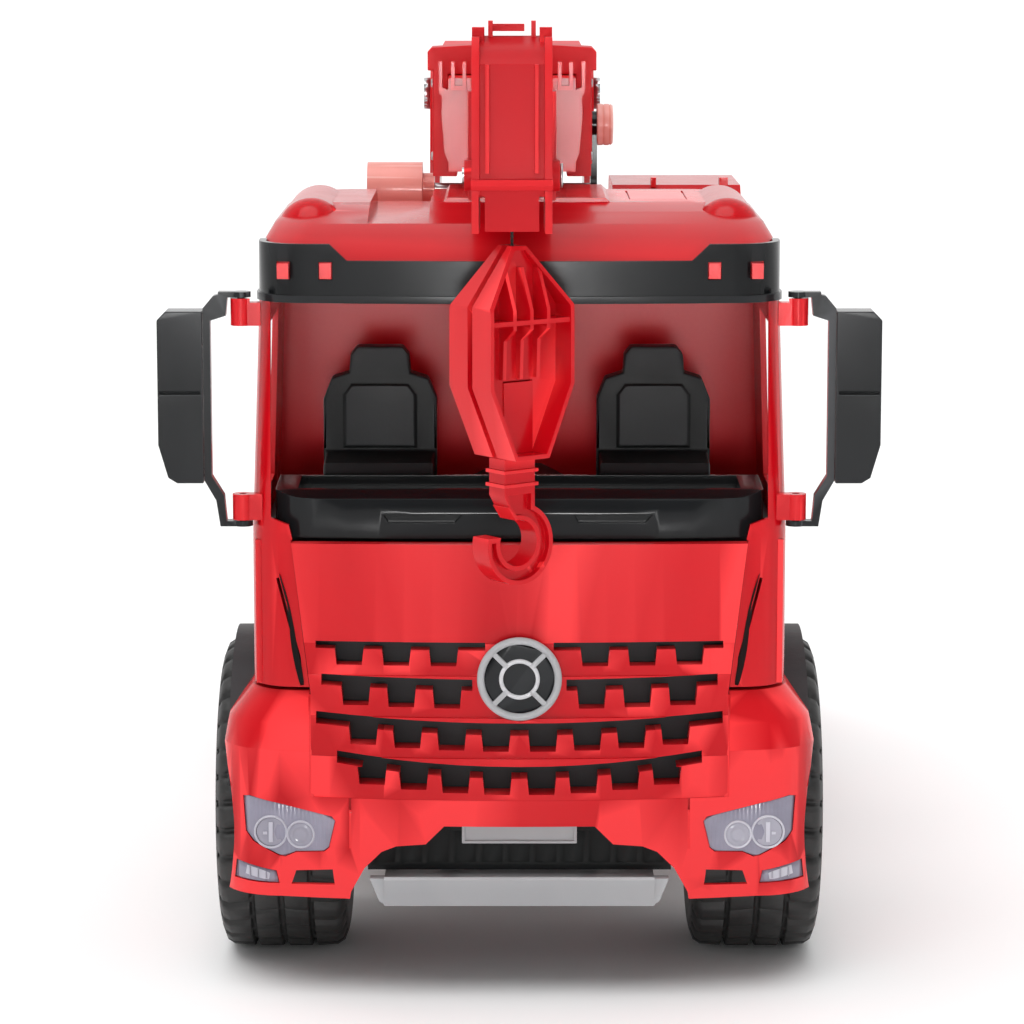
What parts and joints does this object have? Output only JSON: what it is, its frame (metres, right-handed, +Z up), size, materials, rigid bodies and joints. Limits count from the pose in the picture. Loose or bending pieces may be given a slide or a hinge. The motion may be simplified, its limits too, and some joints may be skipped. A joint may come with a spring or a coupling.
{
  "type": "toy crane truck",
  "caption": "Toy mobile crane: red cab truck on axles with slewing, lifting and telescoping boom, hand winch and hanging hook.",
  "frame": {"origin": "on the floor under the middle of the toy's bounding box", "axes": "+Z up, the truck faces -Y, +X to the right as the truck is seen from the front"},
  "size_m": [0.291, 0.6988, 0.3968],
  "materials": {
    "red_plastic": "glossy injection-moulded red plastic",
    "black_plastic": "semi-gloss black plastic",
    "silver_plastic": "silver-grey plastic",
    "lamp_plastic": "grey-violet translucent lamp plastic",
    "tail_plastic": "dark red lamp plastic",
    "tyre": "hollow black plastic tyre",
    "axle_steel": "drawn steel wire",
    "string": "twisted black cord"
  },
  "bodies": {
    "truck": {"chassis_frame": "black_plastic", "cab_shell": "red_plastic", "cab_roof": "red_plastic", "sun_visor": "black_plastic", "front_bumper": "red_plastic", "front_grille": "red_plastic", "grille_backing": "black_plastic", "badge_ring": "silver_plastic", "badge_disc": "black_plastic", "front_lamps": "lamp_plastic", "number_plate": "silver_plastic", "skid_plate": "silver_plastic", "dashboard": "black_plastic", "seat_left": "black_plastic", "seat_right": "black_plastic", "cab_floor": "black_plastic", "front_mudguards": "black_plastic", "crane_deck": "red_plastic", "rear_mudguards": "black_plastic", "tail_lights": "tail_plastic", "rear_bumper": "black_plastic", "fuel_tank": "silver_plastic", "battery_box": "black_plastic", "turntable_ring": "black_plastic"},
    "mirror_left": {"mirror_bracket_left": "black_plastic", "mirror_housing_left": "black_plastic"},
    "mirror_right": {"mirror_bracket_right": "black_plastic", "mirror_housing_right": "black_plastic"},
    "support_left": {"outrigger_left": "red_plastic"},
    "support_right": {"outrigger_right": "red_plastic"},
    "front_wheels": {"front_axle": "axle_steel", "front_rims": "red_plastic", "front_tyres": "tyre"},
    "middle_wheels": {"middle_axle": "axle_steel", "middle_rims": "red_plastic", "middle_tyres": "tyre"},
    "rear_wheels": {"rear_axle": "axle_steel", "rear_rims": "red_plastic", "rear_tyres": "tyre"},
    "crane_base": {"superstructure": "red_plastic", "operator_cab": "red_plastic", "counterweight": "black_plastic", "boom_pivot_pin": "axle_steel"},
    "outer_boom": {"boom_outer": "red_plastic", "string_leg": "string"},
    "middle_boom": {"boom_mid": "red_plastic"},
    "inner_boom": {"boom_inner": "red_plastic", "boom_nose": "red_plastic", "sheave_pin": "axle_steel", "string_run": "string"},
    "nose_sheave": {"sheave": "black_plastic"},
    "hoist_line": {"hoist_string": "string"},
    "hook": {"hook_block_front": "red_plastic", "hook_block_rear": "red_plastic", "hook_claw": "red_plastic"},
    "winch": {"winch_drum": "black_plastic", "winch_string": "string", "winch_shaft": "axle_steel", "winch_knob": "red_plastic", "crank_arm": "black_plastic"}
  },
  "joints": [
    {"name": "front_axle_spin", "type": "hinge", "parent": "truck", "child": "front_wheels", "pos_m": [0, -0.1886, 0.066], "axis": [1, 0, 0], "continuous": true},
    {"name": "middle_axle_spin", "type": "hinge", "parent": "truck", "child": "middle_wheels", "pos_m": [0, 0.1114, 0.066], "axis": [1, 0, 0], "continuous": true},
    {"name": "rear_axle_spin", "type": "hinge", "parent": "truck", "child": "rear_wheels", "pos_m": [0, 0.2514, 0.066], "axis": [1, 0, 0], "continuous": true},
    {"name": "mirror_left_fold", "type": "hinge", "parent": "truck", "child": "mirror_left", "pos_m": [-0.112, -0.2586, 0.24], "axis": [0, 0, -1], "range_deg": [0, 60]},
    {"name": "mirror_right_fold", "type": "hinge", "parent": "truck", "child": "mirror_right", "pos_m": [0.112, -0.2586, 0.24], "axis": [0, 0, 1], "range_deg": [0, 60]},
    {"name": "support_left_slide", "type": "slide", "parent": "truck", "child": "support_left", "axis": [-1, 0, 0], "range_m": [0, 0.04]},
    {"name": "support_right_slide", "type": "slide", "parent": "truck", "child": "support_right", "axis": [1, 0, 0], "range_m": [0, 0.04]},
    {"name": "crane_slew", "type": "hinge", "parent": "truck", "child": "crane_base", "pos_m": [0, 0.0944, 0.16], "axis": [0, 0, 1], "continuous": true},
    {"name": "boom_lift", "type": "hinge", "parent": "crane_base", "child": "outer_boom", "pos_m": [-0.003, 0.1694, 0.347], "axis": [-1, 0, 0], "range_deg": [0, 50]},
    {"name": "boom_extend_middle", "type": "slide", "parent": "outer_boom", "child": "middle_boom", "axis": [0, -1, 0], "range_m": [0, 0.12]},
    {"name": "boom_extend_inner", "type": "slide", "parent": "middle_boom", "child": "inner_boom", "axis": [0, -1, 0], "range_m": [0, 0.11]},
    {"name": "hook_swing", "type": "hinge", "parent": "inner_boom", "child": "nose_sheave", "pos_m": [-0.003, -0.3163, 0.338], "axis": [-1, 0, 0], "range_deg": [-50, 0]},
    {"name": "hook_lower", "type": "slide", "parent": "nose_sheave", "child": "hoist_line", "axis": [0, 0, -1], "range_m": [0, 0.07], "deforming": ["hoist_string"]},
    {"name": "hook_twist", "type": "hinge", "parent": "hoist_line", "child": "hook", "pos_m": [-0.003, -0.3266, 0.3], "axis": [0, 0, 1], "continuous": true},
    {"name": "winch_turn", "type": "hinge", "parent": "outer_boom", "child": "winch", "pos_m": [-0.003, -0.0486, 0.314], "axis": [-1, 0, 0], "range_deg": [0, 500]}
  ],
  "couplings": [
    {"joint": "hook_swing", "follows": "boom_lift", "ratio": -1},
    {"joint": "hook_lower", "follows": "winch_turn", "m_per_rad": 0.008}
  ]
}
